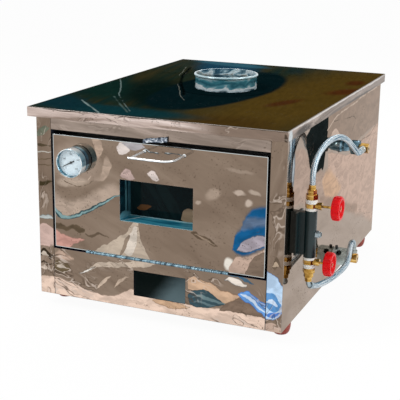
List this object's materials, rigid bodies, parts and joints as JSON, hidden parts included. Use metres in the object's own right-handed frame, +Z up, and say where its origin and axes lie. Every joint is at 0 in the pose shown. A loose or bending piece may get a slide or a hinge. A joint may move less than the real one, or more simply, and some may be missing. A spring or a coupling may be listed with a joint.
{
  "type": "countertop gas pizza oven",
  "caption": "Polished stainless countertop gas pizza oven with a drop-down glazed door, side gas manifold with red handwheels and a flue collar.",
  "frame": {"origin": "on the floor under the feet, below the middle of the part's outer box, hoses left out", "axes": "+X to the right as seen from the front, towards the gas manifold; +Y from the door to the back; +Z up"},
  "size_m": [0.701, 0.9086, 0.518],
  "materials": {
    "polished_steel": "mirror-polished stainless sheet with faint handling marks",
    "liner_steel": "dull heat-toned stainless sheet",
    "mineral_wool": "fibrous matt",
    "baking_stone": "fine-grained matt stone",
    "dark_iron": "mill-scaled black iron",
    "blue_grey_paint": "satin hammered paint",
    "galvanised": "zinc-coated, softly mottled",
    "black_screw": "black oxide",
    "brass": "machined brass, lightly tarnished",
    "thread_tape": "wrapped tape stained with sealant",
    "red_enamel": "gloss enamel",
    "braided_hose": "silver-blue braid",
    "crimp_steel": "zinc-plated satin",
    "glass": "clear heat-resisting glass",
    "chrome": "bright plated",
    "dial_white": "matt white with printed scale",
    "pointer_black": "matt black",
    "foot_red": "matt oxide red"
  },
  "bodies": {
    "cabinet": {"left_side": "polished_steel", "right_side": "polished_steel", "back_panel": "polished_steel", "bottom_pan": "polished_steel", "lower_panel": "polished_steel", "top_rail": "polished_steel", "lid": "polished_steel", "liner_left": "liner_steel", "liner_right": "liner_steel", "liner_back": "liner_steel", "liner_roof": "liner_steel", "front_sill": "liner_steel", "side_insulation": "mineral_wool", "back_insulation": "mineral_wool", "top_insulation": "mineral_wool", "deck_stone": "baking_stone", "deck_runners": "dark_iron", "upper_burner": "dark_iron", "lower_burner": "dark_iron", "burner_supports": "dark_iron", "upper_mixer": "blue_grey_paint", "lower_mixer": "galvanised", "upper_jet": "brass", "lower_jet": "brass", "manifold_pipe": "dark_iron", "manifold_bracket": "dark_iron", "gas_inlet": "galvanised", "upper_valve_body": "brass", "lower_valve_body": "brass", "thread_tape": "thread_tape", "hose_nuts": "brass", "upper_hose": "braided_hose", "lower_hose": "braided_hose", "hose_ferrules": "crimp_steel", "flue_collar": "polished_steel", "flue_flange": "polished_steel", "frame_hinge_leaf": "crimp_steel", "hinge_pin": "crimp_steel", "door_catch": "crimp_steel", "feet": "foot_red"},
    "door": {"door_skin": "polished_steel", "door_inner": "liner_steel", "door_insulation": "mineral_wool", "window_frame": "polished_steel", "window_glass": "glass", "handle": "polished_steel", "gauge_case": "chrome", "gauge_dial": "dial_white", "gauge_lens": "glass", "door_hinge_leaf": "crimp_steel"},
    "pointer": {"gauge_pointer": "pointer_black"},
    "upper_stem": {"upper_valve_stem": "brass"},
    "upper_wheel": {"upper_handwheel": "red_enamel"},
    "lower_stem": {"lower_valve_stem": "brass"},
    "lower_wheel": {"lower_handwheel": "red_enamel"},
    "upper_air_shutter": {"upper_shutter": "blue_grey_paint"},
    "lower_air_shutter": {"lower_shutter": "galvanised", "shutter_lock_screw": "black_screw"},
    "damper": {"flue_damper": "polished_steel"}
  },
  "joints": [
    {"name": "door_hinge", "type": "hinge", "parent": "cabinet", "child": "door", "pos_m": [-0.0435, -0.38415, 0.1482], "axis": [1, 0, 0], "range_deg": [0, 105]},
    {"name": "pointer_turn", "type": "hinge", "parent": "door", "child": "pointer", "pos_m": [-0.2405, -0.40675, 0.362], "axis": [0, 1, 0], "range_deg": [-10, 240], "stiffness_Nm_per_rad": 0.002},
    {"name": "upper_valve_rise", "type": "slide", "parent": "cabinet", "child": "upper_stem", "axis": [1, 0, 0], "range_m": [-0.012, 0]},
    {"name": "upper_valve_turn", "type": "hinge", "parent": "upper_stem", "child": "upper_wheel", "pos_m": [0.3415, -0.28575, 0.297], "axis": [1, 0, 0], "range_deg": [-2160, 0]},
    {"name": "lower_valve_rise", "type": "slide", "parent": "cabinet", "child": "lower_stem", "axis": [1, 0, 0], "range_m": [0, 0.012]},
    {"name": "lower_valve_turn", "type": "hinge", "parent": "lower_stem", "child": "lower_wheel", "pos_m": [0.3295, -0.28575, 0.169], "axis": [1, 0, 0], "range_deg": [0, 2160]},
    {"name": "upper_shutter_turn", "type": "hinge", "parent": "cabinet", "child": "upper_air_shutter", "pos_m": [0.2965, 0.02825, 0.362], "axis": [1, 0, 0], "range_deg": [-45, 45]},
    {"name": "lower_shutter_turn", "type": "hinge", "parent": "cabinet", "child": "lower_air_shutter", "pos_m": [0.2755, 0.02825, 0.081], "axis": [1, 0, 0], "range_deg": [-30, 45]},
    {"name": "damper_turn", "type": "hinge", "parent": "cabinet", "child": "damper", "pos_m": [-0.0435, 0.02825, 0.502], "axis": [1, 0, 0], "range_deg": [0, 90]}
  ],
  "couplings": [
    {"joint": "upper_valve_rise", "follows": "upper_valve_turn", "m_per_rad": 0.000318},
    {"joint": "lower_valve_rise", "follows": "lower_valve_turn", "m_per_rad": 0.000318}
  ]
}
